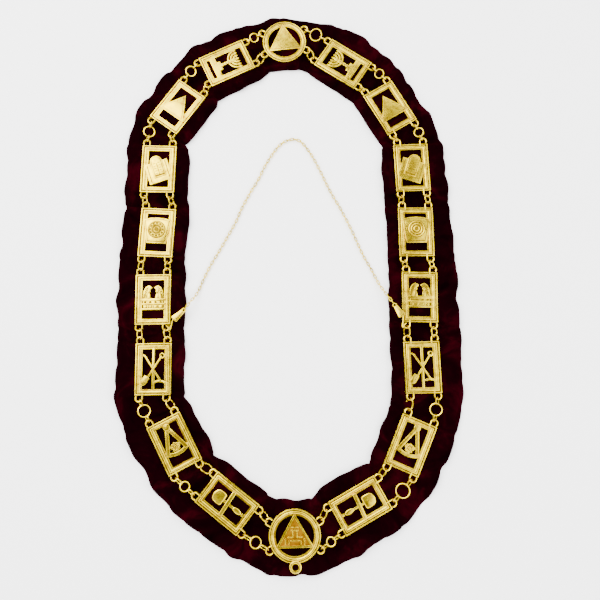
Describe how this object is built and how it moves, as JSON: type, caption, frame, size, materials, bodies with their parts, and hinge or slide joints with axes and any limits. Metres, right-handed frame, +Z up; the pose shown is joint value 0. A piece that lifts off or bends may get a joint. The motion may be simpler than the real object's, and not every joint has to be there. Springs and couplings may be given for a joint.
{
  "type": "chain of office",
  "caption": "Chain of office laid flat: pierced gilt plates and round medallions joined by jump rings over a padded velvet collar, with a fine neck chain on two clasps.",
  "frame": {"origin": "middle of the whole collar's footprint, on the surface that it lies on", "axes": "+Y towards the top medallion, +Z up out of the plates' faces, +X to the right as seen from above"},
  "size_m": [0.2898, 0.4778, 0.0123],
  "materials": {
    "velvet": "short velvet pile",
    "gilt": "pale gold plating, satin"
  },
  "bodies": {
    "root": {"velvet_band": "velvet", "medallion_top": "gilt", "medallion_bottom": "gilt", "plate_left_1": "gilt", "plate_left_2": "gilt", "plate_left_3": "gilt", "plate_left_4": "gilt", "plate_left_5": "gilt", "plate_left_6": "gilt", "plate_left_7": "gilt", "plate_left_8": "gilt", "plate_right_1": "gilt", "plate_right_2": "gilt", "plate_right_3": "gilt", "plate_right_4": "gilt", "plate_right_5": "gilt", "plate_right_6": "gilt", "plate_right_7": "gilt", "plate_right_8": "gilt", "rings_left_outer_1": "gilt", "rings_left_outer_2": "gilt", "rings_left_outer_3": "gilt", "rings_left_outer_4": "gilt", "rings_left_outer_5": "gilt", "rings_left_outer_6": "gilt", "rings_left_outer_7": "gilt", "rings_left_outer_8": "gilt", "rings_left_outer_9": "gilt", "rings_left_inner_1": "gilt", "rings_left_inner_2": "gilt", "rings_left_inner_3": "gilt", "rings_left_inner_4": "gilt", "rings_left_inner_5": "gilt", "rings_left_inner_6": "gilt", "rings_left_inner_7": "gilt", "rings_left_inner_8": "gilt", "rings_left_inner_9": "gilt", "rings_right_outer_1": "gilt", "rings_right_outer_2": "gilt", "rings_right_outer_3": "gilt", "rings_right_outer_4": "gilt", "rings_right_outer_5": "gilt", "rings_right_outer_6": "gilt", "rings_right_outer_7": "gilt", "rings_right_outer_8": "gilt", "rings_right_outer_9": "gilt", "rings_right_inner_1": "gilt", "rings_right_inner_2": "gilt", "rings_right_inner_3": "gilt", "rings_right_inner_4": "gilt", "rings_right_inner_5": "gilt", "rings_right_inner_6": "gilt", "rings_right_inner_7": "gilt", "rings_right_inner_8": "gilt", "rings_right_inner_9": "gilt", "clasp_left": "gilt", "clasp_right": "gilt", "neck_chain": "gilt"}
  },
  "joints": []
}
